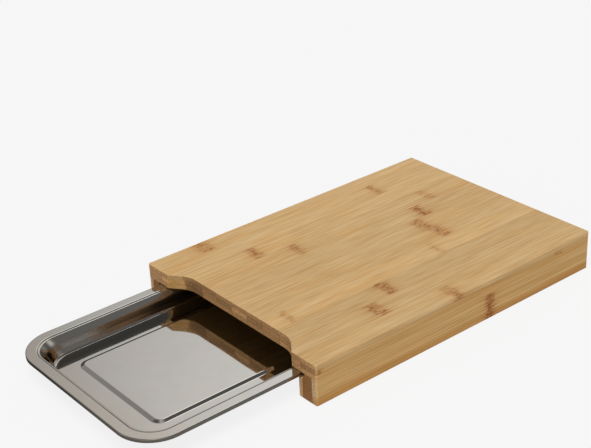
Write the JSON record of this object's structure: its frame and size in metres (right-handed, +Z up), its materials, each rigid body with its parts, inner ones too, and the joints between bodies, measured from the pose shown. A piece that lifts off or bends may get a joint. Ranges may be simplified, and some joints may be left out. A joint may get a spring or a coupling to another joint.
{
  "type": "bread board with crumb tray",
  "caption": "Laminated bamboo bread board on rails, with a finger scoop in its front edge and a pressed steel crumb tray that slides out from under it.",
  "frame": {"origin": "on the resting plane, in the middle of the whole part's box, with the tray drawn out as it is at rest", "axes": "+Z up; the front, where the tray comes out, faces -Y; the board's grain and its length run along Y; X is the width"},
  "size_m": [0.25, 0.5146, 0.0409],
  "materials": {
    "bamboo_face": "oiled bamboo, light face strips with brown knuckle marks",
    "bamboo_ply": "sawn and sanded bamboo, end grain at the front",
    "bamboo_rail": "oiled bamboo, a little darker and more orange than the top",
    "bamboo_core": "dark, coarse bamboo end grain",
    "pressed_steel": "stainless sheet, softly mirror-like, slightly dulled on the rim"
  },
  "bodies": {
    "board": {"bottom_strip_01": "bamboo_ply", "bottom_strip_02": "bamboo_ply", "bottom_strip_03": "bamboo_ply", "bottom_strip_04": "bamboo_ply", "bottom_strip_05": "bamboo_ply", "bottom_strip_06": "bamboo_ply", "bottom_strip_07": "bamboo_ply", "bottom_strip_08": "bamboo_ply", "bottom_strip_09": "bamboo_ply", "bottom_strip_10": "bamboo_ply", "bottom_strip_11": "bamboo_ply", "left_rail_core": "bamboo_core", "left_rail_inner_strip": "bamboo_rail", "left_rail_outer_strip": "bamboo_rail", "middle_strip_01": "bamboo_ply", "middle_strip_02": "bamboo_ply", "middle_strip_03": "bamboo_ply", "middle_strip_04": "bamboo_ply", "middle_strip_05": "bamboo_ply", "middle_strip_06": "bamboo_ply", "middle_strip_07": "bamboo_ply", "middle_strip_08": "bamboo_ply", "middle_strip_09": "bamboo_ply", "middle_strip_10": "bamboo_ply", "middle_strip_11": "bamboo_ply", "rear_rail_core": "bamboo_core", "rear_rail_inner_strip": "bamboo_rail", "rear_rail_outer_strip": "bamboo_rail", "right_rail_core": "bamboo_core", "right_rail_inner_strip": "bamboo_rail", "right_rail_outer_strip": "bamboo_rail", "top_strip_01": "bamboo_face", "top_strip_02": "bamboo_face", "top_strip_03": "bamboo_face", "top_strip_04": "bamboo_face", "top_strip_05": "bamboo_face", "top_strip_06": "bamboo_face", "top_strip_07": "bamboo_face", "top_strip_08": "bamboo_face", "top_strip_09": "bamboo_face", "top_strip_10": "bamboo_face", "top_strip_11": "bamboo_face"},
    "tray": {"crumb_tray": "pressed_steel"}
  },
  "joints": [
    {"name": "tray_slide", "type": "slide", "parent": "board", "child": "tray", "axis": [0, -1, 0], "range_m": [-0.1652, 0.175]}
  ]
}
